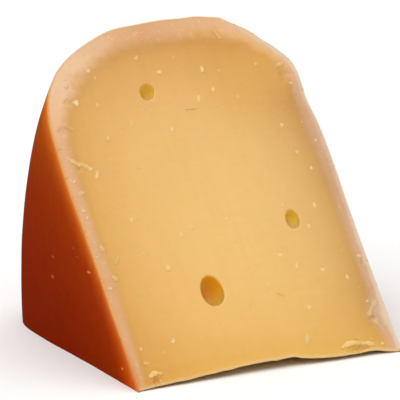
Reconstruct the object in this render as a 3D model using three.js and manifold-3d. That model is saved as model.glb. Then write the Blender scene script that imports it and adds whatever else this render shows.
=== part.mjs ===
// A wedge of matured wheel cheese, sliced from the wheel like a piece of cake and laid down on one
// of its two cut faces, so that the other cut face slopes up from the thin tip to the rounded rim.
//
// Millimetres, +Z up. X runs along the axis of the wheel, from one flat rind to the other. The tip
// lies at the front (-Y) and the rim at the back (+Y). The origin is the centre of the base.

import * as THREE from "three";
import { mergeVertices } from "three/addons/utils/BufferGeometryUtils.js";
import Module from "manifold-3d";

const wasm = await Module();
wasm.setup();

// ---------------------------------------------------------------------------------------------
// Driving dimensions

const WHEEL_HEIGHT = 114.5; // from one flat rind to the other, at the axis
const WHEEL_RADIUS = 169; // from the axis to the crest of the bulging rim
const FLAT_RADIUS_LEFT = 117; // where the left flat rind starts to round over into the rim
const FLAT_RADIUS_RIGHT = 132;
const SWELL = 1; // the flats swell by this much before they round over
const SWELL_RADIUS = 98;
const SWELL_SPREAD = 28;
const SHOULDER_LEFT = 2.5; // superellipse exponents: 2 is an ellipse, and more is squarer
const SHOULDER_RIGHT = 1.75;
const CREST_SHIFT = 18; // the wheel has sagged on its shelf, so the crest lies off the middle
const SLICE_ANGLE = THREE.MathUtils.degToRad(48.65);

// Where knocks and shelves have left the outline of the wheel out of true: `out` is how far it
// stands out, or in if less than 0, and `reach` is how far off that has faded to about a third.
const KNOCKS = [
  { across: -19, up: 165, out: 0.9, reach: 9 },
  { across: 14, up: 169, out: -0.5, reach: 6 },
  { across: 31, up: 166.5, out: 1.0, reach: 3.5 },
  { across: 47.5, up: 155, out: -0.8, reach: 4.5 },
  { across: 55.3, up: 141, out: 0.9, reach: 4.5 },
  { across: 58, up: 123, out: -1.1, reach: 9 },
];

const TIP_LIFT = 1.4; // the tip stands clear of the board between its two corners
const TIP_LIFT_REACH = 38; // how far back under the wedge this gap fades out
// Where it arches up further: `middle` and `rise` of each arch, and `reach` is how far off it fades
const TIP_ARCHES = [
  { middle: -3, rise: 2.0, reach: 21 },
  { middle: 10.5, rise: 0.9, reach: 5 },
  { middle: 45.5, rise: 0.9, reach: 6 },
];
const DISH = 0.7; // how far the paste has sunk between the firmer borders as it dried
const WAVE = 0.22; // the slow waver of the wire in the cut

// The bubbles that the cut has opened. `across` and `up` place the middle of the opening on the
// face, measured from the middle of the tip, and `wide`, `tall` and `deep` are full sizes.
const FRONT_EYES = [
  { across: -11.4, up: 134.8, wide: 5.8, tall: 8.0, deep: 4.5, lean: -26 },
  { across: 31.6, up: 66.9, wide: 5.7, tall: 8.8, deep: 4.5, lean: -5 },
  { across: -12.9, up: 39.7, wide: 9.3, tall: 14.2, deep: 9, lean: -3 },
];
const UNDER_EYES = [
  { across: 16, up: 108, wide: 8, tall: 9.5, deep: 7, lean: -20 },
  { across: -24, up: 61, wide: 5.5, tall: 6.5, deep: 5, lean: 35 },
];
const EYE_SUNK = 0.3; // the middle of a bubble lies this share of its half depth under the cut

// Shallow scallops where crumbs have broken out near the edges of the front face.
const CHIPS = [
  { across: 39.4, up: 4.8, wide: 12.5, tall: 5, deep: 1.3, lean: 2 },
  { across: -48.2, up: 4.8, wide: 4.2, tall: 4.5, deep: 1.3, lean: 10 },
  { across: 50.6, up: 135.8, wide: 5.5, tall: 8, deep: 0.8, lean: -20 },
];
const CHIP_SUNK = 0;

const FLAT_STEPS = 9; // along each flat, from the axis out
const SHOULDER_STEPS = 28; // along each shoulder of the rim
const WHEEL_STEPS = 144; // round the whole wheel
const CUT_STEP = 5.5; // between the points of a cut face
const CUT_MARGIN = 12; // how far the blocks that are cut away reach past the wheel
const HOLLOW_SIDES = 20;
const HOLLOW_RINGS = 14;

// ---------------------------------------------------------------------------------------------
// Manifold solids

/** A three.js geometry as a manifold-3d solid. */
function toSolid(geometry) {
  const bare = geometry.clone();
  bare.deleteAttribute("normal");
  bare.deleteAttribute("uv");
  const merged = mergeVertices(bare, 1e-4);
  const corners = merged.index.array;
  const triVerts = [];
  for (let i = 0; i < corners.length; i += 3) {
    const [a, b, c] = corners.slice(i, i + 3);
    if (a !== b && b !== c && c !== a) triVerts.push(a, b, c);
  }
  return new wasm.Manifold(
    new wasm.Mesh({
      numProp: 3,
      vertProperties: merged.attributes.position.array,
      triVerts: new Uint32Array(triVerts),
    }),
  );
}

/** A manifold-3d solid as a three.js geometry. */
function toGeometry(solid) {
  const mesh = solid.getMesh();
  const geometry = new THREE.BufferGeometry();
  geometry.setAttribute("position", new THREE.BufferAttribute(mesh.vertProperties, 3));
  geometry.setIndex(new THREE.BufferAttribute(mesh.triVerts, 1));
  geometry.computeVertexNormals();
  return geometry;
}

// ---------------------------------------------------------------------------------------------
// The whole wheel

/**
 * Half of the wheel's outline as (radius, x) points: out along one flat from the axis, and over
 * the shoulder to just short of the crest. The side is -1 on the left and 1 on the right.
 */
function halfProfile(side, flatRadius, exponent) {
  const points = [];
  const flatX = (side * WHEEL_HEIGHT) / 2;
  for (let i = 0; i < FLAT_STEPS; i++) {
    points.push(new THREE.Vector2((flatRadius * i) / FLAT_STEPS, flatX));
  }
  for (let i = 0; i < SHOULDER_STEPS; i++) {
    const turn = (i / SHOULDER_STEPS) * (Math.PI / 2);
    const out = Math.sin(turn) ** (2 / exponent);
    const along = Math.cos(turn) ** (2 / exponent);
    const radius = flatRadius + (WHEEL_RADIUS - flatRadius) * out;
    points.push(new THREE.Vector2(radius, CREST_SHIFT + (flatX - CREST_SHIFT) * along));
  }
  for (const point of points) {
    point.y += side * SWELL * Math.exp(-(((point.x - SWELL_RADIUS) / SWELL_SPREAD) ** 2));
  }
  return points;
}

/** Moves a point of the outline, given as (radius, x), by the knocks near it. */
function knock(point) {
  const outward = new THREE.Vector2(point.x - WHEEL_RADIUS / 2, point.y).normalize();
  const place = point.clone();
  for (const { across, up, out, reach } of KNOCKS) {
    const away = place.distanceTo(new THREE.Vector2(up, across));
    point.addScaledVector(outward, out * Math.exp(-((away / reach) ** 2)));
  }
}

/** The wheel, turned about the X axis. */
function wholeWheel() {
  const profile = [
    ...halfProfile(-1, FLAT_RADIUS_LEFT, SHOULDER_LEFT),
    new THREE.Vector2(WHEEL_RADIUS, CREST_SHIFT),
    ...halfProfile(1, FLAT_RADIUS_RIGHT, SHOULDER_RIGHT).reverse(),
  ];
  profile.forEach(knock);
  return new THREE.LatheGeometry(profile, WHEEL_STEPS).rotateZ(-Math.PI / 2);
}

// ---------------------------------------------------------------------------------------------
// The two cuts

/** How far the front cut lies below its flat plane, at a point of the face. */
function frontRelief(across, up) {
  const x = (2 * across) / WHEEL_HEIGHT;
  const r = (2 * up) / WHEEL_RADIUS - 1;
  const middle = Math.max(0, 1 - x * x) * Math.max(0, 1 - r ** 4);
  const wave = Math.sin(across / 13 + up / 41) * Math.cos(up / 27 - across / 60);
  return DISH * middle + WAVE * wave * middle;
}

/** How far the bottom cut lies above the board. */
function bottomRelief(across, back) {
  const x = (2 * across) / WHEEL_HEIGHT;
  const arches = TIP_ARCHES.map(
    ({ middle, rise, reach }) => rise * Math.exp(-(((across - middle) / reach) ** 2)),
  );
  const clear = Math.max(0, 1 - x ** 6);
  const lift = arches.reduce((sum, arch) => sum + arch, TIP_LIFT) * clear;
  return lift * (1 - THREE.MathUtils.smoothstep(back, 0, TIP_LIFT_REACH));
}

/**
 * All that one pull of the wire parts from the wedge: a block above the plane z = 0, with its
 * underside pushed down by the relief.
 */
function partedBlock(relief) {
  const reach = WHEEL_RADIUS + CUT_MARGIN;
  const width = WHEEL_HEIGHT + CUT_MARGIN;
  const block = new THREE.BoxGeometry(
    width,
    2 * reach,
    reach,
    Math.round(width / CUT_STEP),
    Math.round((2 * reach) / CUT_STEP),
    1,
  ).translate(0, 0, reach / 2);
  const position = block.attributes.position;
  for (let i = 0; i < position.count; i++) {
    if (position.getZ(i) > reach / 2) continue;
    position.setZ(i, -relief(position.getX(i), position.getY(i)));
  }
  return block;
}

// ---------------------------------------------------------------------------------------------
// Eyes and chips

/** An ellipsoid sunk into the plane z = 0, whose opening there has the stated size. */
function hollow({ across, up, wide, tall, deep, lean }, sunk) {
  const opening = Math.sqrt(1 - sunk * sunk); // share of the full width that the plane cuts
  const halfDepth = deep / (1 + sunk);
  return new THREE.SphereGeometry(1, HOLLOW_SIDES, HOLLOW_RINGS)
    .rotateX(Math.PI / 2)
    .scale(wide / 2 / opening, tall / 2 / opening, halfDepth)
    .rotateZ(THREE.MathUtils.degToRad(lean))
    .translate(across, up, -sunk * halfDepth);
}

// ---------------------------------------------------------------------------------------------
// The wedge

/** The wedge with the axis of its wheel on the X axis: the front cut is hinged up from z = 0. */
function wedgeSolid() {
  const parted = [
    partedBlock((across, back) => bottomRelief(-across, back)).rotateY(Math.PI),
    partedBlock(frontRelief).rotateX(SLICE_ANGLE),
    ...FRONT_EYES.map((eye) => hollow(eye, EYE_SUNK).rotateX(SLICE_ANGLE)),
    ...CHIPS.map((chip) => hollow(chip, CHIP_SUNK).rotateX(SLICE_ANGLE)),
    ...UNDER_EYES.map((eye) => hollow(eye, EYE_SUNK).rotateY(Math.PI)),
  ];
  return parted.reduce(
    (wedge, piece) => wedge.subtract(toSolid(piece)),
    toSolid(wholeWheel()),
  );
}

function cheeseWedge() {
  const paste = new THREE.MeshStandardMaterial({
    color: 0xe9b974,
    roughness: 0.55,
    metalness: 0,
  });
  const mesh = new THREE.Mesh(toGeometry(wedgeSolid()), paste);
  mesh.name = "cheese_wedge";
  mesh.position.y = -WHEEL_RADIUS / 2; // the base reaches from the tip to the crest of the rim
  return mesh;
}

const part = new THREE.Group();
part.name = "cheese_wedge_part";
part.add(cheeseWedge());

export default part;
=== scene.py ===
# A wedge of matured wheel cheese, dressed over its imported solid.
#
# Metres, +Z up. X runs along the axis of the wheel, from one flat rind to the other. The tip lies
# at the front (-Y) and the rim at the back (+Y). A place on a cut face is (across, up): across is
# X, and up is the distance from the wheel's axis, on the front cut and on the bottom cut alike.

import math
import random

import bmesh
import bpy
import numpy as np
from mathutils import Matrix, Vector, noise
from mathutils.geometry import delaunay_2d_cdt
from mathutils.kdtree import KDTree


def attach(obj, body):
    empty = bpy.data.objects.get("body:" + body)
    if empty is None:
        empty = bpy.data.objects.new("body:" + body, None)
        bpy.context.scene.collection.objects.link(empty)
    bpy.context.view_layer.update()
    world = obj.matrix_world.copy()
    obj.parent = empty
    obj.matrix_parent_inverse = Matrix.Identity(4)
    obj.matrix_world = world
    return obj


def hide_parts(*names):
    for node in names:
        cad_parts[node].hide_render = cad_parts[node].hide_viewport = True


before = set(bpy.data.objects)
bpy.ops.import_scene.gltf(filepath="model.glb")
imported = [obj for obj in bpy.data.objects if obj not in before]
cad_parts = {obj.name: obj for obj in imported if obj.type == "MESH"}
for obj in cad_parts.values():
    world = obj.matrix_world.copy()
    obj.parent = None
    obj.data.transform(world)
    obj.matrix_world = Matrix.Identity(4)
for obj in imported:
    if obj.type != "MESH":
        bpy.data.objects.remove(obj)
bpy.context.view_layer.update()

# --------------------------------------
# The paste. Curd was pressed in a round mould, brined, and kept on a shelf until the wheel sagged
# and its middle dried to a firm, waxy yellow, paler and tougher just under the rind. Two pulls of
# a wire part the wedge from the wheel and open the bubbles that the curd's gas left.

MM = 0.001
WHEEL_HEIGHT = 114.5 * MM  # from one flat rind to the other, at the axis
WHEEL_RADIUS = 169 * MM  # from the axis to the crest of the bulging rim
FLAT_RADIUS_LEFT = 117 * MM  # where the left flat starts to round over into the rim
FLAT_RADIUS_RIGHT = 132 * MM
SWELL = 1 * MM  # the flats swell by this much before they round over
SWELL_RADIUS = 98 * MM
SWELL_SPREAD = 28 * MM
SHOULDER_LEFT = 2.5  # superellipse exponents: 2 is an ellipse, and more is squarer
SHOULDER_RIGHT = 1.75
CREST_SHIFT = 18 * MM
SLICE_ANGLE = math.radians(48.65)

# Where knocks and shelves have left the outline out of true: its place (across, up), how far it
# stands out, or in if less than 0, and how far off that has faded to about a third
KNOCKS = MM * np.array([
    (-19, 165, 0.9, 9),
    (14, 169, -0.5, 6),
    (31, 166.5, 1.0, 3.5),
    (47.5, 155, -0.8, 4.5),
    (55.3, 141, 0.9, 4.5),
    (58, 123, -1.1, 9),
])

COAT = 0.55 * MM  # thickness of the coat that the rind wears
COAT_LAP = 0.2 * MM  # the paste reaches this far out under it, so that no gap can show

TIP_LIFT = 1.4 * MM  # the tip stands clear of the board between its two corners
TIP_LIFT_REACH = 38 * MM
# Where it arches up further: the middle of each arch, its rise, and how far off that has faded
TIP_ARCHES = MM * np.array([
    (-3, 2.0, 21),
    (10.5, 0.9, 5),
    (45.5, 0.9, 6),
])
TIP_NIBBLE = 0.14 * MM  # crumbs have left the tip this uneven
NIBBLE_SIZE = 6 * MM
FINE_NIBBLE_SIZE = 2 * MM
TIP_ROUND = 0.5 * MM  # radius of the worn edge between the two cuts
TIP_REACH = TIP_ROUND / math.tan(SLICE_ANGLE / 2)  # from the sharp edge to where it starts to round
TIP_START = TIP_REACH - TIP_ROUND * math.cos(SLICE_ANGLE / 2)
TIP_ROWS = (0.25, 0.5, 0.75, 1.0)
TIP_POINTS = 230

SHRINK = 0.08 * MM  # the drying paste has sunk this much below the coat's cut edge
DISH = 0.7 * MM  # and this much more in its softer middle
DISH_REACH = 34 * MM  # from the rind in
DISH_REACH_TIP = 60 * MM  # and from the tip
WAVE = 0.2 * MM  # the slow waver of the wire
WAVE_SIZE = 38 * MM
DRAG = 0.035 * MM  # the fine ripples that the wire dragged into the face
DRAG_SIZE = 2.6 * MM
DRAG_STRETCH = 9  # how much longer than high they are
GRAIN = 0.05 * MM
GRAIN_SIZE = 3.2 * MM
UNDER_GRAIN_SIZE = 4 * MM
# How far in from the rind, or from the tip, each of these starts and is whole
DISH_START = 2 * MM
MARKS_FROM_RIND = (0.5 * MM, 5 * MM)
MARKS_FROM_TIP = (1.5 * MM, 7 * MM)
SHRINK_FROM_TIP = (1 * MM, 5 * MM)
TORN_FROM_RIND = (COAT - COAT_LAP, 1.2 * MM)


def measured(*rows):
    """Rows of sizes in millimetres, with a lean in degrees at the end, as rows in metres."""
    return [(*[size * MM for size in sizes], lean) for *sizes, lean in rows]


# The bubbles: the middle of the opening (across, up), its width, height and depth, and its lean
FRONT_EYES = measured(
    (-11.4, 134.8, 5.8, 8.0, 4.5, -26),
    (31.6, 66.9, 5.7, 8.8, 4.5, -5),
    (-12.9, 39.7, 9.3, 14.2, 9, -3),
)
UNDER_EYES = measured(
    (-16.0, 108.0, 8.0, 9.5, 7, 20),
    (24.0, 61.0, 5.5, 6.5, 5, -35),
)
EYE_SUNK = 0.3  # the middle of a bubble lies this share of its half depth under the cut
EYE_UNEVEN = 0.02
EYE_PHASES = (900, 700)  # radians for each metre, so that no two are uneven alike
EYE_LIP = 0.7 * MM  # rounding of an eye's edge
EYE_LIP_RINGS = 6
EYE_CLEAR = 0.4  # the face's own points stay this share of a step off the lip
EYE_RINGS = 14
EYE_STEP = 0.5 * MM
EYE_END = 1.5  # in depths: what lies deeper is on the other cut

# Shallow scallops where crumbs have broken out: middle, width, height, depth and lean
CHIPS = measured(
    (39.4, 4.0, 13.0, 5.0, 1.1, 2),
    (-48.2, 3.8, 4.6, 4.4, 1.1, 10),
    (50.6, 135.4, 6.0, 9.0, 0.6, -20),
    (-53.4, 120.5, 4.6, 5.6, 0.7, 0),
    (-46.6, 133.8, 4.6, 4.2, 0.6, 20),
    (-51.6, 102.2, 4.4, 4.4, 0.3, -30),
    (50.2, 16.8, 4.6, 3.4, 0.6, 10),
    (54.4, 42.6, 2.4, 3.4, 0.5, 0),
)
CHIP_RAGGED = 0.25  # how uneven their outline is, as a share of their size
CHIP_RAG_SIZE = 1.6 * MM
CHIP_SLOPE = 0.8  # the share of their half width over which they deepen
CHIP_END = 1.6  # in half widths: nothing of a chip lies further out
CHIP_MARGIN = 1 * MM  # the finer mesh reaches this far round them

# Short slits that the wire tore open: middle, length, width and lean
SLITS = measured(
    (5.0, 124.1, 5.4, 0.7, -4),
    (14.8, 33.3, 4.2, 0.7, -30),
    (-56.6, 112.2, 2.6, 0.8, -15),
    (39.0, 8.3, 3.6, 0.7, 12),
)
SLIT_DEPTH = 0.4 * MM
SLIT_SIDES = (-0.15 * MM, 0.25 * MM)  # how far inside its outline the sides start and end
SLIT_LIP = 0.15 * MM  # height of the lip that the wire raised below it
SLIT_LIP_WIDTH = 0.45 * MM
SLIT_MARGIN = 0.8 * MM

FRONT_STEP = 0.8 * MM  # between the points of the front cut
UNDER_STEP = 1.7 * MM  # and of the bottom cut
FINE_STEP = 0.3 * MM  # and round the chips and slits
RIND_STEP = 0.75 * MM  # and of the outline under the coat
OUTLINE_STEP = 0.1 * MM  # and of the outline that depths are measured from
FLAT_POINTS = 300  # of a half outline, before its points are set a step apart
SHOULDER_POINTS = 600
SIDE_STEPS = 16
KEEP_INSIDE = 1  # the triangulation keeps only what lies inside the border
SAME_PLACE = 1e-9

ACROSS = np.array([1.0, 0.0, 0.0])
AXIS = np.array([0, -WHEEL_RADIUS / 2, 0])  # the base reaches from the wheel's axis to its crest
FACE_CENTRE = np.array([0, WHEEL_RADIUS / 2])  # knocks push away from here
WELL_INSIDE = np.array([0, WHEEL_RADIUS / 3])


def resampled(line, step):
    """The same line, with its points a step apart."""
    run = np.concatenate([[0], np.cumsum(np.linalg.norm(np.diff(line, axis=0), axis=1))])
    marks = np.linspace(0, run[-1], round(run[-1] / step) + 1)
    return np.column_stack([np.interp(marks, run, column) for column in line.T])


def right_of(line):
    """The way to the right at each point of a line."""
    heading = np.gradient(line, axis=0)
    heading /= np.linalg.norm(heading, axis=1)[:, None]
    return np.column_stack([heading[:, 1], -heading[:, 0]])


def half_outline(side, flat_radius, exponent):
    """From the axis out along one flat, and over its shoulder to the crest of the rim."""
    flat = np.linspace(0, flat_radius, FLAT_POINTS, endpoint=False)
    turn = np.linspace(0, math.pi / 2, SHOULDER_POINTS)
    rim = flat_radius + (WHEEL_RADIUS - flat_radius) * np.sin(turn) ** (2 / exponent)
    up = np.concatenate([flat, rim])
    along = np.concatenate([np.ones_like(flat), np.abs(np.cos(turn)) ** (2 / exponent)])
    across = CREST_SHIFT + (side * WHEEL_HEIGHT / 2 - CREST_SHIFT) * along
    across += side * SWELL * np.exp(-(((up - SWELL_RADIUS) / SWELL_SPREAD) ** 2))
    return np.column_stack([across, up])


def wheel_outline(step):
    """The wheel's outline from the left tip corner over the rim to the right, and its inward way."""
    left = half_outline(-1, FLAT_RADIUS_LEFT, SHOULDER_LEFT)
    right = half_outline(1, FLAT_RADIUS_RIGHT, SHOULDER_RIGHT)
    line = np.vstack([left, right[::-1][1:]])
    outward = line - FACE_CENTRE
    outward /= np.linalg.norm(outward, axis=1)[:, None]
    moved = np.zeros((len(line), 1))
    for across, up, out, reach in KNOCKS:
        away = np.linalg.norm(line - [across, up], axis=1)[:, None]
        moved += out * np.exp(-((away / reach) ** 2))
    line = resampled(line + outward * moved, step)
    return line, right_of(line)


fine_outline = wheel_outline(OUTLINE_STEP)[0]
outline_tree = KDTree(len(fine_outline))
for number, spot in enumerate(fine_outline):
    outline_tree.insert((*spot, 0), number)
outline_tree.balance()


def under_rind(places):
    """How deep each place lies under the rind, and its share of the way round the outline."""
    found = [outline_tree.find((*place, 0)) for place in places]
    return (
        np.array([distance for _, _, distance in found]),
        np.array([number for _, number, _ in found]) / len(fine_outline),
    )


SEED_SHIFT = Vector((7.3, 3.1, 5.7))  # each seed reads the noise this much further on
LUMP_GAIN = 1.6  # brings the noise, which seldom passes 0.6, to about 1


def lumps(places, size, seed):
    """Soft noise between about -1 and 1, with lumps of the given size."""
    shift = SEED_SHIFT * seed
    flat = np.zeros(3 - places.shape[1])
    return np.array([noise.noise(Vector((*p, *flat)) / size + shift) for p in places]) * LUMP_GAIN


def smooth(values, start, end):
    """0 before the start, 1 past the end, and an even slope between."""
    t = np.clip((values - start) / (end - start), 0, 1)
    return t * t * (3 - 2 * t)


def seen_from(places, middle, lean):
    """Places measured from a middle, along axes that lean by an angle in degrees."""
    c, s = math.cos(math.radians(lean)), math.sin(math.radians(lean))
    return (places - middle) @ np.array([[c, -s], [s, c]])


def tip_lift(across):
    """How far the tip edge stands off the board."""
    corner = WHEEL_HEIGHT / 2 - COAT + COAT_LAP
    clear = np.clip(1 - (across / corner) ** 6, 0, 1)
    arch = sum(rise * np.exp(-(((across - middle) / reach) ** 2)) for middle, rise, reach in TIP_ARCHES)
    along = across[:, None]
    nibble = lumps(along, NIBBLE_SIZE, 1) + 0.5 * lumps(along, FINE_NIBBLE_SIZE, 2)
    return (TIP_LIFT + arch + TIP_NIBBLE * nibble) * clear


def front_relief(places, past_edge):
    """How far the front cut lies under its flat plane."""
    depth, _ = under_rind(places)
    inner = smooth(depth, *MARKS_FROM_RIND) * smooth(past_edge, *MARKS_FROM_TIP)
    grain = lumps(places, GRAIN_SIZE, 5) + 0.5 * lumps(places, GRAIN_SIZE / 2, 6)
    relief = DISH * smooth(depth, DISH_START, DISH_REACH)
    relief *= smooth(past_edge, DISH_START, DISH_REACH_TIP)
    relief += WAVE * lumps(places, WAVE_SIZE, 3) * inner
    relief += DRAG * lumps(places / [DRAG_STRETCH, 1], DRAG_SIZE, 4) * inner
    relief += GRAIN * grain * inner
    relief += SHRINK * smooth(past_edge, *SHRINK_FROM_TIP)
    torn = np.zeros(len(places))
    for across, up, wide, tall, deep, lean in CHIPS:
        x, y = seen_from(places, (across, up), lean).T
        out = np.hypot(2 * x / wide, 2 * y / tall)
        near = out < CHIP_END
        out[near] *= 1 + CHIP_RAGGED * lumps(places[near], CHIP_RAG_SIZE, 7)
        torn = np.maximum(torn, deep * smooth(1 - out, 0, CHIP_SLOPE))
    for across, up, long, wide, lean in SLITS:
        x, y = seen_from(places, (across, up), lean).T
        taper = np.sqrt(np.clip(1 - (2 * x / long) ** 2, 0, 1))
        torn += SLIT_DEPTH * smooth(wide / 2 * taper - np.abs(y), *SLIT_SIDES)
        torn -= SLIT_LIP * taper * np.exp(-(((y + wide) / SLIT_LIP_WIDTH) ** 2))
    return relief + torn * smooth(depth, *TORN_FROM_RIND)


def bottom_relief(places, past_edge):
    """How far the bottom cut lies above the board."""
    lift = tip_lift(places[:, 0]) * (1 - smooth(past_edge, 0, TIP_LIFT_REACH))
    inner = smooth(past_edge, *SHRINK_FROM_TIP)
    return lift + (SHRINK + GRAIN * (1 + lumps(places, UNDER_GRAIN_SIZE, 8))) * inner


def eye_loop(eye, grow, share=1.0):
    """A loop round an eye, grown by a distance, or shrunk to a share of its size."""
    across, up, wide, tall, _, lean = eye
    turn = np.linspace(0, 2 * math.pi, round(math.pi * (wide + tall) / 2 / EYE_STEP), endpoint=False)
    uneven = 1 + EYE_UNEVEN * np.sin(2 * turn + EYE_PHASES[0] * across)
    uneven += EYE_UNEVEN * np.sin(3 * turn + EYE_PHASES[1] * up)
    loop = np.column_stack([np.cos(turn) * (wide / 2 + grow), np.sin(turn) * (tall / 2 + grow)])
    return seen_from(loop * uneven[:, None] * share, (0, 0), -lean) + [across, up]


def in_eye(places, eye, grow):
    """Whether each place lies inside an eye's opening, grown by a distance."""
    across, up, wide, tall, _, lean = eye
    x, y = seen_from(places, (across, up), lean).T
    return np.hypot(x / (wide / 2 + grow), y / (tall / 2 + grow)) < 1


def lattice(low, high, step):
    """Places in a box, in rows of even triangles."""
    rows = np.arange(low[1], high[1], step * math.sqrt(3) / 2)
    across, up = np.meshgrid(np.arange(low[0], high[0], step), rows)
    across[1::2] += step / 2
    return np.column_stack([across.ravel(), up.ravel()])


def between_rows(rows, columns, closed=True):
    """The faces between rows of points, where each row is a ring or an open line."""
    faces = []
    for row in range(rows - 1):
        for i in range(columns if closed else columns - 1):
            j = (i + 1) % columns
            corners = [(row, i), (row, j), (row + 1, j), (row + 1, i)]
            faces.append([r * columns + c for r, c in corners])
    return faces


class Cut:
    """A face that the wire left, at an angle to the board."""

    def __init__(self, angle, side, edge_rise, relief, eyes, step, torn=()):
        self.up_way = np.array([0, math.cos(angle), math.sin(angle)])
        self.out_way = side * np.array([0, -math.sin(angle), math.cos(angle)])
        self.edge_rise = edge_rise  # how far up the face its edge lies, as a share of the tip's lift
        self.relief = relief
        self.eyes = eyes
        self.step = step
        self.torn = torn

    def edge(self, across):
        """How far up the face its tip edge would lie, if that were sharp."""
        return tip_lift(across) * self.edge_rise

    def in_space(self, places, deeper=0.0):
        """Places on the face, or deeper under it, as points in space."""
        past_edge = places[:, 1] - self.edge(places[:, 0])
        short = np.clip(TIP_REACH - past_edge, 0, TIP_REACH - TIP_START)
        rounding = TIP_ROUND - np.sqrt(TIP_ROUND**2 - short**2)
        sunk = self.relief(places, past_edge) + rounding + deeper
        flat = AXIS + places[:, :1] * ACROSS + places[:, 1:] * self.up_way
        return flat - sunk[:, None] * self.out_way

    def rind_border(self):
        """The border of the face under the coat, from the left tip corner to the right."""
        line, inward = wheel_outline(RIND_STEP)
        line = line + inward * (COAT - COAT_LAP)
        line[[0, -1], 1] = TIP_START
        return line

    def surface(self):
        """The points and triangles of the face, which is open at its eyes."""
        rind = self.rind_border()
        across = np.linspace(rind[-1, 0], rind[0, 0], TIP_POINTS)[1:-1]
        tip = np.column_stack([across, self.edge(across)])
        border = np.vstack([rind, tip + [0, TIP_START]])
        loops = [eye_loop(eye, EYE_LIP) for eye in self.eyes]
        rows = [tip[2:-2] + [0, TIP_START + (TIP_REACH - TIP_START) * row] for row in TIP_ROWS]
        half_width = WHEEL_HEIGHT / 2 + SWELL
        inside = lattice((-half_width, 0), (half_width, WHEEL_RADIUS), self.step)
        for spot, size in self.torn:
            inside = inside[(np.abs(inside - spot) > size).any(axis=1)]
            inside = np.vstack([inside, lattice(spot - size, spot + size, FINE_STEP)])
        clear = self.is_inside(inside, FINE_STEP)
        clear &= inside[:, 1] > self.edge(inside[:, 0]) + TIP_REACH + FINE_STEP
        for eye in self.eyes:
            clear &= ~in_eye(inside, eye, EYE_LIP + EYE_CLEAR * self.step)
        rings = [border, *loops]
        edges = []
        for ring in rings:
            start, count = len(edges), len(ring)
            edges += [(start + i, start + (i + 1) % count) for i in range(count)]
        places = np.vstack([*rings, inside[clear], *rows])
        owner = np.full(len(places), -1)
        owner[: len(edges)] = np.repeat(range(len(rings)), [len(ring) for ring in rings])
        points, _, faces, sources, _, _ = delaunay_2d_cdt(
            [Vector(place) for place in places], edges, [], KEEP_INSIDE, SAME_PLACE
        )
        owner = owner[[source[0] for source in sources]]
        # A face with all its corners on one eye's loop would close the eye
        faces = [f for f in faces if len(set(owner[list(f)])) > 1 or owner[f[0]] < 1]
        return self.in_space(np.array([tuple(point) for point in points])), faces

    def is_inside(self, places, margin):
        """Whether each place lies inside the border by more than a margin."""
        depth, share = under_rind(places)
        nearest = fine_outline[(share * len(fine_outline)).round().astype(int)]
        toward_middle = ((places - nearest) * (WELL_INSIDE - nearest)).sum(axis=1) > 0
        return toward_middle & (depth > COAT - COAT_LAP + margin)

    def bubble(self, eye):
        """The inside of an eye, from its rounded lip to its deepest point."""
        deep = eye[4]
        half_depth = deep / (1 + EYE_SUNK)
        opening = math.sqrt(1 - EYE_SUNK**2)
        rings = []
        for turn in np.linspace(0, math.pi / 2, EYE_LIP_RINGS):
            loop = eye_loop(eye, EYE_LIP * (1 - math.sin(turn)))
            rings.append(self.in_space(loop, EYE_LIP * (1 - math.cos(turn))))
        for turn in np.linspace(-math.asin(EYE_SUNK), math.pi / 2, EYE_RINGS)[1:]:
            loop = eye_loop(eye, 0, math.cos(turn) / opening)
            rings.append(self.in_space(loop, EYE_LIP + half_depth * (math.sin(turn) + EYE_SUNK)))
        return np.vstack(rings), between_rows(len(rings), len(rings[0]))


def new_object(name, data):
    """An object that shows the data, linked into the scene."""
    made = bpy.data.objects.new(name, data)
    bpy.context.scene.collection.objects.link(made)
    return made


def new_piece(name, parts, merge=0.01 * MM, sharp=math.radians(60)):
    """A piece from its parts' points and faces, with points that lie together made one."""
    shell = bmesh.new()
    for points, faces in parts:
        corners = [shell.verts.new(point) for point in points]
        for face in faces:
            shell.faces.new([corners[i] for i in face])
    bmesh.ops.remove_doubles(shell, verts=shell.verts, dist=merge)
    bmesh.ops.recalc_face_normals(shell, faces=shell.faces)
    for face in shell.faces:
        face.smooth = True
    for edge in shell.edges:
        edge.smooth = edge.calc_face_angle(0) < sharp
    mesh = bpy.data.meshes.new(name)
    shell.to_mesh(mesh)
    shell.free()
    return new_object(name, mesh)


# Where the face is torn, as the middles and half sizes of boxes
torn_spots = [(np.array(row[:2]), np.array(row[2:4]) / 2 + CHIP_MARGIN) for row in CHIPS]
torn_spots += [(np.array(row[:2]), np.array([row[2] / 2, row[2] / 4]) + SLIT_MARGIN) for row in SLITS]
front_rise = 1 / math.sin(SLICE_ANGLE)
bottom_rise = 1 / math.tan(SLICE_ANGLE)
front = Cut(SLICE_ANGLE, 1, front_rise, front_relief, FRONT_EYES, FRONT_STEP, torn_spots)
bottom = Cut(0, -1, bottom_rise, bottom_relief, UNDER_EYES, UNDER_STEP)


def hidden_side():
    """The rind's own surface under the coat, from the bottom cut round to the front cut."""
    border = front.rind_border()
    rows = [bottom.in_space(border)]
    for turn in np.linspace(0, SLICE_ANGLE, SIDE_STEPS)[1:-1]:
        up_way = np.array([0, math.cos(turn), math.sin(turn)])
        row = AXIS + border[:, :1] * ACROSS + border[:, 1:] * up_way
        row[[0, -1]] = rows[0][[0, -1]]
        rows.append(row)
    rows.append(front.in_space(border))
    return np.vstack(rows), between_rows(len(rows), len(border), closed=False)


paste_parts = [front.surface(), bottom.surface(), hidden_side()]
paste_parts += [cut.bubble(eye) for cut in (front, bottom) for eye in cut.eyes]
paste = new_piece("cheese_paste", paste_parts)

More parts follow.
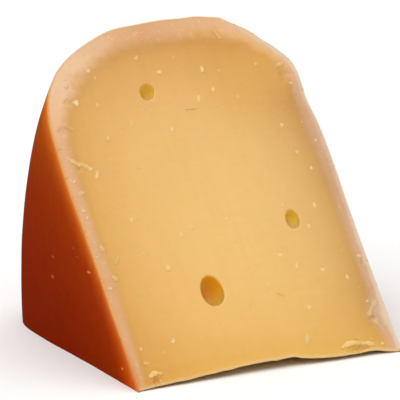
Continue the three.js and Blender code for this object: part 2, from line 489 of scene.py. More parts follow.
# The pale band under the rind, at shares of the way round the outline from the left tip corner:
# how wide it is in millimetres, and how pale it is from 0 to 1
BAND = [
    (0, 3.8, 0.0),
    (0.12, 5.0, 0.1),
    (0.17, 4.3, 0.2),
    (0.27, 5.5, 0.25),
    (0.31, 7.0, 0.7),
    (0.35, 10.0, 1.0),
    (0.39, 9.6, 0.95),
    (0.44, 9.0, 0.4),
    (0.48, 9.5, 0.0),
    (0.51, 9.5, 0.2),
    (0.58, 9.5, 0.5),
    (0.63, 5.3, 0.5),
    (0.70, 4.8, 0.3),
    (0.75, 6.6, 0.25),
    (0.80, 5.0, 0.2),
    (0.87, 5.1, 0.4),
    (0.93, 5.0, 0.4),
    (0.955, 8.2, 0.5),
    (0.98, 5.6, 0.35),
    (1, 5.2, 0.3),
]


def give(piece, name, values):
    """One number for each point of a piece, for its material to read."""
    layer = piece.data.attributes.new(name, "FLOAT", "POINT")
    layer.data.foreach_set("value", np.asarray(values, np.float32))


def points_of(piece):
    return np.array([vertex.co for vertex in piece.data.vertices])


def give_places(piece):
    """Tells each point of a piece how deep it lies under the rim and in the pale band."""
    points = points_of(piece)
    from_axis = np.linalg.norm((points - AXIS)[:, 1:], axis=1)
    depth, share = under_rind(np.column_stack([points[:, 0], from_axis]))
    shares, widths, pallors = np.array(BAND).T
    give(piece, "rim_depth", (WHEEL_RADIUS - from_axis) / MM)
    give(piece, "band", depth / MM / np.interp(share, shares, widths))
    give(piece, "pallor", np.interp(share, shares, pallors))


give_places(paste)
points = points_of(paste)
in_bubble, bubble_up, bubble_size = np.zeros((3, len(points)))
for cut in (front, bottom):
    cut_places = np.column_stack([points[:, 0], (points - AXIS) @ cut.up_way])
    sunk = (AXIS - points) @ cut.out_way - DISH
    for eye in cut.eyes:
        _, up, _, tall, deep, _ = eye
        inside_it = in_eye(cut_places, eye, EYE_LIP) & (sunk > 0) & (sunk < EYE_END * deep)
        in_bubble[inside_it] = sunk[inside_it] / MM
        bubble_up[inside_it] = (cut_places[inside_it, 1] - up) / tall * 2
        bubble_size[inside_it] = deep / MM
give(paste, "in_bubble", in_bubble)
give(paste, "bubble_up", bubble_up)
give(paste, "bubble_size", bubble_size)
give(paste, "tip_edge", front.edge(points[:, 0]) / MM)


def colour(red, green, blue):
    """A colour as a screen shows it, from 0 to 255, in the shader's own terms."""
    shares = [value / 255 for value in (red, green, blue)]
    return [v / 12.92 if v < 0.04045 else ((v + 0.055) / 1.055) ** 2.4 for v in shares] + [1]


class Wire:
    """A value on its way through a material. Sums with it add the Math nodes that work them out."""

    def __init__(self, socket):
        self.socket = socket

    def node(self, kind, settings, values, output=0):
        """What a new node gives, once its settings and then its sockets are set."""
        tree = self.socket.id_data
        made = tree.nodes.new(kind)
        for name, value in settings.items():
            setattr(made, name, value)
        for key, value in values.items():
            if isinstance(value, Wire):
                tree.links.new(value.socket, made.inputs[key])
            else:
                made.inputs[key].default_value = value
        return Wire(made.outputs[output])

    def math(self, operation, *terms):
        return self.node("ShaderNodeMath", {"operation": operation}, dict(enumerate(terms)))

    def __add__(self, other):
        return self.math("ADD", self, other)

    def __sub__(self, other):
        return self.math("SUBTRACT", self, other)

    def __rsub__(self, other):
        return self.math("SUBTRACT", other, self)

    def __mul__(self, other):
        return self.math("MULTIPLY", self, other)

    __radd__ = __add__

    def smooth(self, start, end):
        """0 before the start, 1 past the end, and an even slope between."""
        limits = {"Value": self, "From Min": start, "From Max": end}
        return self.node("ShaderNodeMapRange", {"interpolation_type": "SMOOTHSTEP"}, limits)

    def fade(self, reach):
        """1 at 0, and less and less as this grows, by a factor of e for each reach."""
        return self.math("EXPONENT", self * (-1 / reach))

    def blend(self, first, second, way="MIX"):
        """The first colour where this is 0, and the second where it is 1."""
        settings = {"data_type": "RGBA", "blend_type": way}
        return self.node("ShaderNodeMix", settings, {0: self, 6: first, 7: second}, 2)

    def stain(self, clean, tint):
        """A colour, multiplied by a tint where this is 1."""
        return self.blend(clean, tint, "MULTIPLY")

    def stretched(self, x, y, z):
        """A place, with each way scaled by a number."""
        return self.node("ShaderNodeVectorMath", {"operation": "MULTIPLY"}, {0: self, 1: (x, y, z)})

    def along(self, way):
        """How far a place lies from the wheel's axis, in millimetres along a way."""
        reach = self.node(
            "ShaderNodeVectorMath", {"operation": "DOT_PRODUCT"}, {0: self, 1: tuple(way)}, 1
        )
        return (reach - float(AXIS @ way)) * (1 / MM)

    def noise(self, size, detail=2, roughness=0.5):
        """Soft noise about 0, from -1 to 1, with features of a size in millimetres."""
        values = {"Vector": self, "Scale": 1000 / size, "Detail": detail, "Roughness": roughness}
        return self.node("ShaderNodeTexNoise", {}, values) * 2 - 1

    def given(self, name):
        """The number that each point of the piece was given under a name."""
        return self.node("ShaderNodeAttribute", {"attribute_name": name}, {}, "Fac")

    def bumps(self, height):
        """The surface's normal, with this many millimetres of relief."""
        return self.node("ShaderNodeBump", {}, {"Height": self, "Distance": height * MM}, "Normal")


def new_material(name, fixed):
    """A material, the place of each of its points, and a way to feed what changes over it."""
    material = bpy.data.materials.new(name)
    material.use_nodes = True
    tree = material.node_tree
    shader = tree.nodes["Principled BSDF"]
    for socket, value in fixed.items():
        shader.inputs[socket].default_value = value
    place = Wire(tree.nodes.new("ShaderNodeTexCoord").outputs["Object"])

    def feed(**wires):
        for socket, wire in wires.items():
            tree.links.new(wire.socket, shader.inputs[socket.replace("_", " ")])

    return material, place, feed


CORE = colour(240, 197, 122)
NEAR_RIM = (0.78, 0.59, 0.40, 1)  # how much of the core's colour is left next to the band
NEAR_LEFT_FLAT = (0.85, 0.69, 0.46, 1)
NEAR_RIGHT_FLAT = (0.69, 0.58, 0.45, 1)
NEAR_RIGHT_SHOULDER = (0.945, 0.885, 0.70, 1)
NEAR_TIP = (0.91, 0.81, 0.50, 1)
BESIDE_BAND = (0.93, 0.94, 0.92, 1)
STREAK = (0.97, 0.955, 0.91, 1)
BAND_DARK = colour(219, 164, 113)
BAND_PALE = colour(236, 194, 152)
BAND_BLUSH = colour(226, 158, 112)
BAND_FLECK = colour(244, 206, 168)
BAND_PIT = (0.66, 0.56, 0.46, 1)
# Painted shade: the band is darker at the right flat, where less light falls.
BAND_SHADE_RIGHT = (0.83, 0.86, 0.99, 1)  # how much of the band's colour is left at the right flat
BAND_SHOULDER = (1, 0.99, 0.76, 1)  # and deep in the right shoulder
BAND_CORNER = (0.93, 0.74, 0.5, 1)  # and at the tip's left corner
DRY_EDGE = colour(229, 208, 185)  # the right border, which has dried pale
PALE_FLECK = colour(250, 224, 176)
# Painted light: the thin tip edge is paler, for light that comes through it.
THIN_TIP_GLOW = colour(238, 206, 150)
# Painted light and shade in the bubbles: the upper walls a saturated gold and the deep upper part
# orange, for light that bounces about and glows through the paste under the lip, and the lower walls a
# paler tan, as lit from above.
SMALL_BUBBLE_GLOW_HIGH = colour(252, 216, 80)
LARGE_BUBBLE_GLOW_HIGH = colour(255, 193, 30)
SMALL_BUBBLE_LIT_LOW = colour(222, 192, 126)
LARGE_BUBBLE_LIT_LOW = colour(216, 188, 88)
BUBBLE_FLOOR_GLOW = colour(252, 190, 70)
PASTE_SKIN = {  # light sinks into the paste and comes out warmer
    "Specular IOR Level": 0.35,
    "Subsurface Weight": 0.25,
    "Subsurface Radius": (1.0, 0.5, 0.18),
    "Subsurface Scale": 3 * MM,
}


def paste_hue(place):
    """The colour of the paste, from the pale core out through the darker border to the band."""
    clouds = place.noise(26, 3)
    mottle = place.noise(5, 4, 0.6)
    curd = place.noise(1.3, 3, 0.6)
    streaks = place.stretched(1, 0.12, 0.12).noise(3.5)
    across = place.along(ACROSS)
    up = place.along(front.up_way)
    from_rim = place.given("rim_depth") + clouds * 4 + mottle - 12
    half_height = WHEEL_HEIGHT / 2 / MM
    from_left = across + half_height + clouds * 2 + mottle - 5
    from_right = half_height - across + clouds * 2 + mottle - 5
    from_tip = up + clouds * 4 - 8
    # Darker towards the right flat: the paste's own tone there, and painted shade on the band, where
    # less light falls.
    right_tone_and_shade = from_right.fade(15) * (1 - up.smooth(118, 146)) * up.smooth(-12, 24)
    hue = from_rim.fade(30).stain(CORE, NEAR_RIM)
    hue = from_left.fade(20).stain(hue, NEAR_LEFT_FLAT)
    hue = right_tone_and_shade.stain(hue, NEAR_RIGHT_FLAT)
    to_right = across.smooth(0, 36)
    hue = (to_right * up.smooth(100, 134)).stain(hue, NEAR_RIGHT_SHOULDER)
    hue = (from_tip.fade(25) * (across.smooth(-58, -42) * 0.4 + 0.6)).stain(hue, NEAR_TIP)
    hue = (streaks + mottle * 0.5).smooth(-0.3, 1).stain(hue, STREAK)

    # The band under the rind, whose inner edge lies at 1
    band_edge = place.given("band") + mottle * 0.2 + place.noise(14) * 0.14 + curd * 0.1
    beside_band = (1 - (band_edge - 0.9).smooth(0.1, 1.1)) * (1 - to_right * 0.8)
    hue = beside_band.stain(hue, BESIDE_BAND)
    band = place.given("pallor").blend(BAND_DARK, BAND_PALE)
    blush = band_edge.smooth(0.2, 0.8) * mottle.smooth(-0.1, 0.7)
    band = (blush * 0.6).blend(band, BAND_BLUSH)
    band = (place.noise(2.2, 3).smooth(0.15, 0.55) * 0.5).blend(band, BAND_FLECK)
    band = (place.noise(1.8).smooth(0.45, 0.65) * 0.6).stain(band, BAND_PIT)
    # Painted shade on the band at the right flat.
    band = right_tone_and_shade.stain(band, BAND_SHADE_RIGHT)
    ragged = across + mottle * 4
    on_shoulder = ragged.smooth(8, 22) * (up + mottle * 4).smooth(134, 148)
    band = (on_shoulder * band_edge.smooth(0.3, 0.7)).stain(band, BAND_SHOULDER)
    dry_edge = (1 - (band_edge - curd * 0.1).smooth(0.05, 0.55)) * ragged.smooth(28, 50)
    # Painted shade: the pale edge is weaker halfway up the right flat, where less light falls.
    dry_edge = dry_edge * ((up.smooth(118, 146) - up.smooth(40, 80)) * 0.3 + 0.85)
    band = dry_edge.blend(band, DRY_EDGE)
    at_corner = (1 - up.smooth(4, 26)) * (1 - (across + curd).smooth(-57, -53.8))
    band = at_corner.stain(band, BAND_CORNER)
    return (1 - band_edge.smooth(0.55, 1.4)).blend(hue, band)


finish, place, feed = new_material("matured_paste", PASTE_SKIN)
bubble = place.given("in_bubble")
mottle = place.noise(5, 4, 0.6)
curd = place.noise(1.3, 3, 0.6)
bubble_up = place.given("bubble_up") + curd * 0.3
large = place.given("bubble_size").smooth(5, 9)
# The bubble walls, painted as lit below and glowing above, with a painted orange glow deep in their
# upper part.
wall_lit_low = large.blend(SMALL_BUBBLE_LIT_LOW, LARGE_BUBBLE_LIT_LOW)
wall_glow_high = large.blend(SMALL_BUBBLE_GLOW_HIGH, LARGE_BUBBLE_GLOW_HIGH)
wall = bubble_up.smooth(-0.4, 0.5).blend(wall_lit_low, wall_glow_high)
wall = (bubble.smooth(4, 7.5) * bubble_up.smooth(-0.3, 0.5)).blend(wall, BUBBLE_FLOOR_GLOW)
hue = bubble.smooth(0.1, 1.4).blend(paste_hue(place), wall)
pale_fleck = place.noise(2.4).smooth(0.42, 0.62)
hue = (pale_fleck * 0.18).blend(hue, PALE_FLECK)
# Painted light: the thin tip edge is painted paler, for light that comes through it.
past_tip = place.along(front.up_way) - place.given("tip_edge")
tip_glow = 1 - (past_tip + curd * 0.5).smooth(0.4, 2.4)
hue = (tip_glow * 0.7).blend(hue, THIN_TIP_GLOW)
relief = curd * 0.6 + place.noise(0.5) * 0.4
feed(
    Base_Color=hue,
    Roughness=0.46 + mottle * 0.06 - bubble.smooth(0, 1) * 0.14,
    Normal=relief.bumps(0.05),
)
paste.data.materials.append(finish)
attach(paste, "root")
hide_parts("cheese_wedge")

# --------------------------------------
# The coat. A breathing plastic film, brushed over the flats and the rim in several thin layers
# and coloured a deep orange. The wire leaves its cut edge as a fine pale line, just proud of the
# paste.

COAT_STEP = 1.5 * MM
COAT_TURNS = 60
COAT_INNER_TURNS = 12
COAT_WAVER = 0.12 * MM  # brushed layers leave it this uneven
COAT_WAVER_SIZE = 14 * MM
COAT_CALM = 5 * MM  # the waver is whole this far up from the axis
COAT_BURR_START = 3 * MM  # and the burr this far
COAT_BURR = 0.05 * MM  # how far the wire has drawn its cut edge out
COAT_NICK = 0.14 * MM  # rounding of that edge


def coat_section():
    """One slice through the coat as (depth in it, turn about the axis, reach past the front cut)."""
    outer = [(0, turn, 0) for turn in np.linspace(0, SLICE_ANGLE, COAT_TURNS)]
    outer[-1] = (0, SLICE_ANGLE, -COAT_NICK)
    cut_edge = [
        (0.3 * COAT_NICK, SLICE_ANGLE, -0.3 * COAT_NICK),
        (COAT_NICK, SLICE_ANGLE, 0.3 * COAT_BURR),
        (0.6 * COAT, SLICE_ANGLE, COAT_BURR),
        (COAT, SLICE_ANGLE, 0),
    ]
    inner = [(COAT, turn, 0) for turn in np.linspace(SLICE_ANGLE, 0, COAT_INNER_TURNS)[1:]]
    return outer + cut_edge + inner


def coat_shell():
    """The coat's points and faces: the slice carried along the outline."""
    line, inward = wheel_outline(COAT_STEP)
    section = coat_section()
    rings = []
    for (across, up), (in_across, in_up) in zip(line, inward):
        ring = []
        for deep, turn, past_cut in section:
            x = across + in_across * deep
            r = max(up + in_up * deep, 0) if up > 0 else 0
            y, z = r * math.cos(turn), r * math.sin(turn)
            waver = COAT_WAVER * noise.noise(Vector((x, y, z)) / COAT_WAVER_SIZE)
            waver *= min(1, up / COAT_CALM)
            x, r = x - in_across * waver, r - in_up * waver
            point = AXIS + [x, r * math.cos(turn), r * math.sin(turn)]
            ring.append(point + front.out_way * past_cut * min(1, up / COAT_BURR_START))
        rings.append(np.array(ring))
    return np.vstack(rings), between_rows(len(rings), len(section))


coat = new_piece("rind_coat", [coat_shell()], sharp=math.radians(50))

# Painted light: the rind is painted brighter and more orange at the front cut, where light comes
# through the paste, and darker further from it.
RIND_AT_CUT = colour(207, 84, 4)
# Painted light: RIND_HIGH warms and pales the upper rind.
RIND_HIGH = colour(226, 165, 44)
RIND_DEEP = colour(137, 38, 3)
# Painted shade: RIND_LOW darkens the rind towards the board.
RIND_LOW = (0.84, 0.66, 0.4, 1)  # how much of that colour is left at the board
RIND_RED = colour(152, 34, 14)
RIND_STREAK = (0.86, 0.78, 0.7, 1)
RIND_FLECK = (0.8, 0.62, 0.6, 1)
LEFT_COAT_EDGE = colour(228, 166, 108)
RIM_COAT_EDGE = colour(240, 204, 162)
RIGHT_COAT_EDGE = colour(227, 206, 180)
CORNER_COAT_EDGE = (0.84, 0.6, 0.34, 1)  # how much of that is left at the tip's left corner
COAT_EDGE_FLECK = colour(238, 130, 84)
COAT_EDGE_PIT = (0.5, 0.36, 0.25, 1)
COAT_GLOW = colour(230, 164, 84)  # light that comes out of the paste through the coat by the cut

finish, place, feed = new_material(
    "orange_coat",
    {
        "Specular IOR Level": 0.0,
        "Coat Roughness": 0.35,
        "Subsurface Weight": 0.08,
        "Subsurface Radius": (1.0, 0.3, 0.1),
        "Subsurface Scale": 1.5 * MM,
    },
)
under_cut = 0 - place.along(front.out_way)
across = place.along(ACROSS)
up = place.along(front.up_way)
clouds = place.noise(30, 3)
mottle = place.noise(7, 4, 0.6)
brushed = place.noise(1.6, 3, 0.65)
pores = place.noise(1, 3, 0.7)
streaks = place.stretched(1, 1, 0.3).noise(5, 3)
# Painted light and shade: the rind is painted brighter and more orange near the front cut, where light
# comes out through the paste, and darker further from it.
lit_through = (under_cut + clouds * 2 + mottle).smooth(1, 14) * 0.5 + 0.5
lit_through = (1 - lit_through) + (under_cut + clouds * 3).fade(24) * 0.5
hue = lit_through.blend(RIND_DEEP, RIND_AT_CUT)
hue = (mottle.smooth(0.1, 0.8) * 0.12).blend(hue, RIND_AT_CUT)
hue = (streaks.smooth(-0.1, 0.6) * 0.45).stain(hue, RIND_STREAK)
hue = (place.noise(9, 4, 0.6).smooth(0, 0.5) * 0.4).blend(hue, RIND_RED)
hue = (place.noise(3.2, 3, 0.65).smooth(0, 0.7) * 0.55).stain(hue, RIND_FLECK)
hue = (pores.smooth(0, 0.5) * 0.85).stain(hue, RIND_FLECK)
off_board = place.along((0, 0, 1))
height = off_board + clouds * 14 + mottle * 6
# Painted light: the upper rind is painted warmer and paler with height, most near the front cut.
painted_top_light = height.smooth(58, 135) * ((under_cut + clouds * 10).fade(38) * 0.24 + 0.05)
hue = painted_top_light.blend(hue, RIND_HIGH)
# Painted shade: the rind is painted darker towards the board, away from the tip corner.
from_corner = up + under_cut * 0.6 + mottle * 3
low = (1 - off_board.smooth(0, 70)) * from_corner.smooth(4, 34)
hue = low.stain(hue, RIND_LOW)
# Painted glow along the cut edge, for light that comes out of the paste through the coat.
glow = (under_cut + mottle * 0.6 + brushed * 0.3 - 0.5).fade(1.6)
glow = glow * (up.smooth(18, 45) * 0.55 + 0.45 - across.smooth(-40, 10) * 0.3)
hue = glow.blend(hue, COAT_GLOW)
on_edge = 1 - (under_cut + mottle * 0.06).smooth(0.02, 0.16) * off_board.smooth(0, 0.06)
ragged = across + mottle * 3
on_left = 1 - across.smooth(-56, -50)
coat_edge = ragged.smooth(-58, -35).blend(LEFT_COAT_EDGE, RIM_COAT_EDGE)
coat_edge = ragged.smooth(30, 54).blend(coat_edge, RIGHT_COAT_EDGE)
coat_edge = ((1 - up.smooth(4, 40)) * on_left).stain(coat_edge, CORNER_COAT_EDGE)
flecks = place.noise(2.6).smooth(0.05, 0.4) * on_left
coat_edge = (flecks * 0.7).blend(coat_edge, COAT_EDGE_FLECK)
hue = on_edge.blend(hue, coat_edge)
pits = place.noise(2.1).smooth(0.25, 0.5) * (1 - under_cut.smooth(0.4, 1.2))
hue = (pits * 0.8).stain(hue, COAT_EDGE_PIT)
feed(
    Base_Color=hue,
    Roughness=0.48 + mottle * 0.08 + pores * 0.04,
    Coat_Weight=0.02 + clouds * 0.01,
    Normal=(mottle * 0.6 + brushed * 0.3 + pores * 0.15).bumps(0.15),
)
coat.data.materials.append(finish)
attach(coat, "root")
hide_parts("cheese_wedge")

# --------------------------------------
# The crystals. As the wheel ripened, an amino acid set into crunchy white grains all through the
# paste. The wire slid over them and left them standing in the cut, most of them dragged long.

# The plain ones, from left to right: across, up, width and height in millimetres, and whiteness
CRYSTALS = [
    (-44.6, 98.5, 1.8, 4.9, 1.0),
    (-43.5, 133.4, 3.1, 3.6, 1.0),
    (-36.3, 76.1, 1.7, 2.6, 0.74),
    (-36.2, 20.1, 2.1, 3.0, 1.0),
    (-34.9, 114.7, 2.2, 2.8, 0.52),
    (-34.7, 131.3, 1.8, 2.4, 0.52),
    (-33.7, 147.9, 2.1, 2.2, 0.64),
    (-28.0, 52.9, 2.5, 3.2, 0.94),
    (-27.5, 119.5, 1.6, 2.4, 0.46),
    (-22.5, 120.8, 1.4, 3.0, 0.56),
    (-17.8, 66.6, 2.0, 2.7, 0.94),
    (-12.1, 69.6, 1.6, 2.7, 0.52),
    (-11.2, 151.6, 1.8, 3.2, 0.7),
    (-6.3, 115.8, 2.3, 2.8, 0.94),
    (-3.4, 143.6, 2.2, 2.7, 1.0),
    (-1.7, 98.1, 1.5, 1.8, 0.74),
    (3.8, 71.3, 2.2, 2.7, 0.56),
    (10.0, 128.9, 1.7, 4.3, 1.0),
    (11.0, 38.4, 1.5, 2.4, 0.56),
    (15.7, 142.7, 2.0, 4.3, 1.0),
    (17.4, 132.4, 2.0, 2.7, 0.76),
    (19.2, 11.8, 2.8, 5.4, 0.6),
    (20.7, 51.3, 2.6, 3.0, 1.0),
    (23.0, 141.2, 1.6, 2.2, 0.46),
    (24.9, 25.8, 2.0, 2.8, 1.0),
    (26.3, 45.5, 2.1, 3.5, 0.94),
    (27.2, 127.7, 1.7, 2.3, 0.46),
    (29.6, 73.9, 1.7, 2.4, 0.64),
    (36.6, 41.8, 2.6, 2.3, 1.0),
    (37.5, 62.6, 2.0, 3.1, 0.9),
    (40.2, 142.1, 1.8, 2.2, 0.52),
    (41.8, 111.3, 1.8, 2.7, 0.76),
    (43.0, 72.0, 2.2, 2.8, 1.0),
    (43.9, 97.7, 2.3, 2.2, 0.5),
    (45.8, 37.1, 2.0, 2.6, 0.78),
    (47.6, 89.3, 1.7, 2.4, 1.0),
]
CRYSTAL_LEAN = 7  # degrees to either side
CRYSTAL_DRAG = -18  # the lean that the pull of the wire gave them all
CRYSTAL_THICK = 0.4 * MM
CRYSTAL_RISE = 0.12 * MM
CRYSTAL_BARE = colour(255, 214, 170)
CRYSTAL_BARE_INNER = colour(255, 200, 128)  # inside the band
SMALL_CRYSTALS = 90
SMALL_WIDTHS = (0.5, 1.2)  # in millimetres, from the least to the most
SMALL_STRETCHES = (1, 1.8)  # height for each width
SMALL_RISES = (0.05, 0.1)
SMALL_WHITES = (0.2, 0.7)
SMALL_LEAN = 20  # the spread of their leans, in degrees
SMALL_ACROSS = (-55, 55)
SMALL_UP = (6, 164)
SMALL_OFF_EYE = 2 * MM
SMALL_OFF_RIND = 3 * MM
KNOBS = 0.25  # how knobbly a grain is, as a share of its size
KNOB_SIZE = 0.9 * MM
GRAIN_BARE = 1.3  # in rises: this far under its top a grain is no longer bare


def unit_ball():
    """The points and faces of an even ball of radius 1."""
    ball = bmesh.new()
    bmesh.ops.create_icosphere(ball, subdivisions=3, radius=1)
    points = np.array([vertex.co for vertex in ball.verts])
    faces = [[vertex.index for vertex in face.verts] for face in ball.faces]
    ball.free()
    return points, faces


BALL_POINTS, BALL_FACES = unit_ball()


def grain(cut, place, form, bare, seed):
    """A knobbly grain that stands out of a cut face by its rise, and how bare each point of it is."""
    wide, tall, thick, lean, rise = form
    knobs = 1 + KNOBS * lumps(BALL_POINTS * MM, KNOB_SIZE, seed)
    body = BALL_POINTS * knobs[:, None] * [wide / 2, tall / 2, thick / 2]
    flat = seen_from(body[:, :2], (0, 0), -lean)
    middle = cut.in_space(np.array([place]))[0] + cut.out_way * (rise - thick / 2)
    points = middle + flat[:, :1] * ACROSS + flat[:, 1:] * cut.up_way + body[:, 2:] * cut.out_way
    return points, BALL_FACES, np.clip(GRAIN_BARE + (body[:, 2] - thick / 2) / rise, 0, 1) * bare


def embedded(name, rows):
    """A piece from grains or curls, whose points know how bare they are and where they lie."""
    piece = new_piece(name, [(points, faces) for points, faces, _ in rows], merge=0)
    give(piece, "bare", np.concatenate([bare for _, _, bare in rows]))
    give_places(piece)
    return piece


draw = random.Random(4)
grains = []
for *sizes, white in CRYSTALS:
    across, up, wide, tall = MM * np.array(sizes)
    lean = CRYSTAL_DRAG + draw.uniform(-CRYSTAL_LEAN, CRYSTAL_LEAN)
    form = (wide, tall, CRYSTAL_THICK, lean, CRYSTAL_RISE)
    grains.append(grain(front, (across, up), form, white, len(grains)))
while len(grains) < len(CRYSTALS) + SMALL_CRYSTALS:
    cut = draw.choice((front, front, bottom))
    spot = np.array([[draw.uniform(*SMALL_ACROSS), draw.uniform(*SMALL_UP)]]) * MM
    off_eyes = not any(in_eye(spot, eye, SMALL_OFF_EYE)[0] for eye in cut.eyes)
    if off_eyes and cut.is_inside(spot, SMALL_OFF_RIND)[0]:
        wide = draw.uniform(*SMALL_WIDTHS) * MM
        tall = wide * draw.uniform(*SMALL_STRETCHES)
        rise = draw.uniform(*SMALL_RISES) * MM
        lean = draw.gauss(0, SMALL_LEAN)
        white = draw.uniform(*SMALL_WHITES)
        grains.append(grain(cut, spot[0], (wide, tall, 3 * rise, lean, rise), white, len(grains)))
crystals = embedded("ripening_crystals", grains)

finish, place, feed = new_material("crystal", PASTE_SKIN)
mottle = place.noise(0.8)
whitest = place.given("band").smooth(1, 1.8).blend(CRYSTAL_BARE, CRYSTAL_BARE_INNER)
feed(
    Base_Color=place.given("bare").blend(paste_hue(place), whitest),
    Roughness=0.42 + mottle * 0.08,
    Normal=place.noise(0.4).bumps(0.03),
)
crystals.data.materials.append(finish)
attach(crystals, "root")

# --------------------------------------
# The curls and crumbs. Where the wire bit into the tough border it pared off slivers of paste and
# coat, which cling to the face in little arcs, and it left crumbs in the chips at the tip.

# The slivers: where each starts, bends and ends, its width and rise, all in millimetres, and how
# bare it is
CURLS = [
    ((-52.6, 124.4), (-50.4, 123.0), (-48.0, 120.2), 2.6, 0.2, 0.35),
    ((-55.8, 109.4), (-53.6, 106.4), (-50.8, 104.6), 2.3, 0.16, 0.9),
    ((-51.8, 104.4), (-50.0, 104.7), (-48.2, 103.8), 3.0, 0.18, 1.0),
    ((-49.0, 103.4), (-47.2, 103.2), (-46.0, 100.8), 2.9, 0.18, 1.0),
    ((-55.2, 89.7), (-54.2, 91.9), (-52.3, 90.6), 2.0, 0.22, 0.6),
    ((-55.6, 69.2), (-54.9, 67.4), (-54.6, 65.8), 1.9, 0.2, 0.5),
    ((-53.4, 66.3), (-52.5, 65.0), (-52.4, 63.2), 2.1, 0.22, 0.6),
    ((-47.3, 61.4), (-47.8, 58.6), (-49.6, 57.2), 1.5, 0.08, 0.35),
    ((-52.8, 52.0), (-51.2, 51.4), (-50.6, 49.3), 2.2, 0.22, 0.6),
    ((55.0, 25.4), (51.0, 21.6), (48.4, 17.8), 2.5, 0.14, 0.7),
    ((48.6, 17.4), (51.6, 15.4), (53.0, 10.6), 2.4, 0.12, 0.6),
    ((26.4, 162.8), (27.0, 159.0), (28.8, 155.8), 1.6, 0.14, 0.6),
    ((47.4, 138.6), (49.6, 141.0), (52.6, 140.6), 1.9, 0.18, 0.6),
    ((-51.6, 12.6), (-50.0, 11.6), (-48.2, 12.0), 2.0, 0.2, 0.6),
    ((-51.0, 5.4), (-48.2, 8.6), (-45.0, 6.3), 2.2, 0.3, 1.0),
    ((32.0, 5.6), (37.0, 8.8), (41.6, 6.4), 2.5, 0.34, 1.0),
    ((40.2, 6.5), (43.6, 7.2), (47.8, 4.7), 2.1, 0.22, 1.0),
]
CURL_RAGGED = 0.35  # how uneven a sliver's width is, as a share of it
CURL_RAG_SIZE = 1.6 * MM
CURL_STEPS = 22
CURL_SIDES = 14

# The larger crumbs: across, up, width and height, in millimetres
CRUMBS = [
    (52.5, 130.8, 2.4, 1.6),
    (54.0, 101.9, 2.0, 2.2),
    (54.0, 45.7, 2.4, 2.6),
    (-55.4, 82.9, 2.0, 1.8),
    (-54.7, 79.4, 1.7, 2.0),
    (-55.9, 61.3, 1.8, 1.6),
    (-54.7, 46.8, 1.8, 1.8),
    (-55.2, 96.6, 1.6, 1.9),
    (-46.6, 3.9, 1.4, 1.2),
    (37.6, 3.9, 1.6, 1.2),
    (50.2, 5.2, 2.0, 1.5),
    (50.6, 24.8, 1.5, 1.8),
]
CRUMB_THICK = 0.8 * MM
CRUMB_RISE = 0.22 * MM
CRUMB_LEAN = 40  # degrees to either side
BORDER_CRUMBS = 90
BORDER_WIDTHS = (0.4, 1.1)
BORDER_BARES = (0.15, 0.6)
BORDER_START = 8 * MM  # how far up the face
BORDER_DEPTHS = (1, 7)  # how far in from the rind, in millimetres
BORDER_OFF_RIND = 0.6 * MM
BORDER_THICK = 0.4 * MM
BORDER_RISE = 0.1 * MM
BORDER_LEAN = 60

# Specks of paste that hands have left on the left flat: back from the axis, height over the board,
# length and height, in millimetres, and how bare they lie
SMEARS = [
    (85, 38, 2.8, 1.3, 0.1),
    (87, 29.5, 3.2, 1.4, 0.25),
    (62, 46, 3.0, 1.3, 0.1),
    (58, 43, 4.2, 0.7, 0.15),
    (47, 38.9, 3.6, 1.3, 0.8),
    (16, 6, 2.2, 1.0, 0.9),
]
SPECK_THICK = 0.12 * MM
SPECK_KNOBS = 0.4
SPECK_THIN = colour(160, 34, 2)
SPECK_BARE = colour(247, 125, 24)
PARED = colour(246, 196, 152)
PARED_INNER = colour(255, 204, 138)  # inside the band


def curl(start, bend, end, wide, rise, pale):
    """A soft sliver along a bent line on the front face, and how bare each point of it is."""
    t = np.linspace(0, 1, CURL_STEPS)[:, None]
    start, bend, end = (np.array(place) * MM for place in (start, bend, end))
    line = (1 - t) ** 2 * start + 2 * t * (1 - t) * bend + t**2 * end
    sideways = right_of(line)
    blunt = np.sqrt(1 - (2 * t - 1) ** 4) * (1 + CURL_RAGGED * lumps(line, CURL_RAG_SIZE, 11)[:, None])
    half_width = wide * MM / 2 * blunt
    feet = front.in_space(line)
    rings = []
    heights = []
    for turn in np.linspace(0, 2 * math.pi, CURL_SIDES, endpoint=False):
        side = sideways * half_width * math.cos(turn)
        out = rise * MM * blunt * (1.5 * math.sin(turn) - 0.5)
        rings.append(feet + side[:, :1] * ACROSS + side[:, 1:] * front.up_way + out * front.out_way)
        heights.append(out[:, 0])
    rings = np.array(rings).transpose(1, 0, 2)
    bare = np.clip(np.array(heights).T.ravel() / (rise * MM), 0, 1) * pale
    return rings.reshape(-1, 3), between_rows(CURL_STEPS, CURL_SIDES), bare


def smear(back, height, long, tall, pale, seed):
    """A flat speck on the left flat, and how bare each point of it is."""
    up = math.hypot(back, height) * MM
    left_half = fine_outline[: len(fine_outline) // 3]
    across = np.interp(up, left_half[:, 1], left_half[:, 0])
    middle = AXIS + [across, back * MM, height * MM]
    knobs = 1 + SPECK_KNOBS * lumps(BALL_POINTS * MM, KNOB_SIZE, seed)
    body = BALL_POINTS * knobs[:, None] * [SPECK_THICK, long * MM / 2, tall * MM / 2]
    return middle + body, BALL_FACES, np.full(len(body), pale)


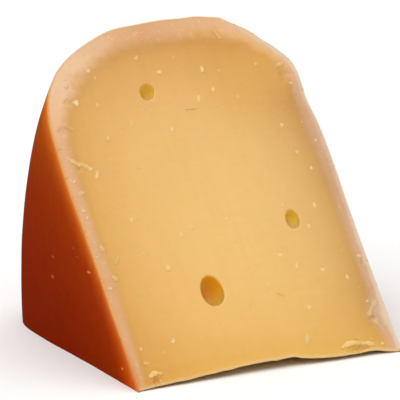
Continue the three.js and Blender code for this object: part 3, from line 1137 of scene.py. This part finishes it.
parings = [curl(*row) for row in CURLS]
for across, up, wide, tall in MM * np.array(CRUMBS):
    lean = draw.uniform(-CRUMB_LEAN, CRUMB_LEAN)
    form = (wide, tall, CRUMB_THICK, lean, CRUMB_RISE)
    parings.append(grain(front, (across, up), form, 1, len(parings)))
for row in SMEARS:
    parings.append(smear(*row, len(parings)))
plain_ones = len(parings)
off_board = [row for row in range(len(fine_outline)) if fine_outline[row, 1] > BORDER_START]
while len(parings) < plain_ones + BORDER_CRUMBS:
    on_rind = fine_outline[draw.choice(off_board)]
    inward = FACE_CENTRE - on_rind
    spot = on_rind + inward / np.linalg.norm(inward) * draw.uniform(*BORDER_DEPTHS) * MM
    if front.is_inside(spot[None], BORDER_OFF_RIND)[0]:
        wide = draw.uniform(*BORDER_WIDTHS) * MM
        tall = wide * draw.uniform(*SMALL_STRETCHES)
        lean = draw.uniform(-BORDER_LEAN, BORDER_LEAN)
        form = (wide, tall, BORDER_THICK, lean, BORDER_RISE)
        parings.append(grain(front, spot, form, draw.uniform(*BORDER_BARES), len(parings)))
curls = embedded("curls_and_crumbs", parings)

finish, place, feed = new_material(
    "pared_paste", {**PASTE_SKIN, "Specular IOR Level": 0.15}
)
mottle = place.noise(1.6, 3)
bare = place.given("bare")
pale = place.given("band").smooth(0.7, 1.3).blend(PARED, PARED_INNER)
hue = (bare * (0.75 + mottle * 0.3)).blend(paste_hue(place), pale)
on_rind = (0 - place.along(front.out_way)).smooth(1, 3)
feed(
    Base_Color=on_rind.blend(hue, bare.blend(SPECK_THIN, SPECK_BARE)),
    Roughness=0.5 + mottle * 0.08 + on_rind * 0.4,
    Normal=place.noise(0.4).bumps(0.04),
)
curls.data.materials.append(finish)
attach(curls, "root")

# --------------------------------------
# The room: a plain pale floor under soft studio lights, and the camera, which looks at the wedge
# down a long lens, from a little above and to the left of its tip.

FLOOR_SIZE = 12
FLOOR_DARKER = colour(240, 240, 240)
FLOOR_PALER = colour(244, 244, 243)
floor_mesh = bpy.data.meshes.new("floor")
corner_ways = ((-1, -1), (1, -1), (1, 1), (-1, 1))
floor_corners = [(x * FLOOR_SIZE / 2, y * FLOOR_SIZE / 2, 0) for x, y in corner_ways]
floor_mesh.from_pydata(floor_corners, [], [(0, 1, 2, 3)])
floor = new_object("floor", floor_mesh)
finish, place, feed = new_material("pale_floor", {"Specular IOR Level": 0.1})
feed(
    Base_Color=place.noise(400).smooth(-1, 1).blend(FLOOR_DARKER, FLOOR_PALER),
    Roughness=0.8 + place.noise(60) * 0.05,
)
floor_mesh.materials.append(finish)

# Each light: the way towards it, how broad it looks in degrees, its strength and its colour
LIGHTS = {
    "key": ((-0.45, -0.36, 0.82), 50, 1.15, (1.0, 0.99, 0.96)),
    "fill": ((0.70, -0.57, 0.43), 60, 0.22, (0.97, 0.98, 1.0)),
    "top": ((0.05, 0.30, 0.95), 80, 1.5, (1.0, 1.0, 1.0)),
}
for name, (way, breadth, strength, tint) in LIGHTS.items():
    light = bpy.data.lights.new(name, "SUN")
    light.angle = math.radians(breadth)
    light.energy = strength
    light.color = tint
    lamp = new_object(name, light)
    lamp.rotation_euler = Vector(way).to_track_quat("Z", "Y").to_euler()

world = bpy.data.worlds.new("pale_room")
world.use_nodes = True
backdrop = world.node_tree.nodes["Background"]
backdrop.inputs["Color"].default_value = (1.0, 1.0, 1.0, 1)
backdrop.inputs["Strength"].default_value = 0.4
bpy.context.scene.world = world
bpy.context.scene.view_settings.view_transform = "Standard"

CAMERA_AROUND = math.radians(22.87)  # to the left of straight in front
CAMERA_ABOVE = math.radians(11.67)
CAMERA_ROLL = math.radians(-2.57)
CAMERA_DISTANCE = 1305.9 * MM
CAMERA_TARGET = Vector((-1.34 * MM, -21.77 * MM, 58.72 * MM))
CAMERA_LENS = 288  # millimetres, as the sensor
CAMERA_SENSOR = 36
CAMERA_SIGHT = 20

flat = -math.cos(CAMERA_ABOVE)
back = Vector((math.sin(CAMERA_AROUND) * flat, math.cos(CAMERA_AROUND) * flat, math.sin(CAMERA_ABOVE)))
level = Vector((0, 0, 1)).cross(back).normalized()
upright = back.cross(level)
right = level * math.cos(CAMERA_ROLL) + upright * math.sin(CAMERA_ROLL)
lens = bpy.data.cameras.new("camera")
lens.sensor_width = CAMERA_SENSOR
lens.lens = CAMERA_LENS
lens.clip_end = CAMERA_SIGHT
camera = new_object("camera", lens)
camera.matrix_world = Matrix.Translation(CAMERA_TARGET + back * CAMERA_DISTANCE) @ Matrix(
    (right, back.cross(right), back)
).transposed().to_4x4()
bpy.context.scene.camera = camera
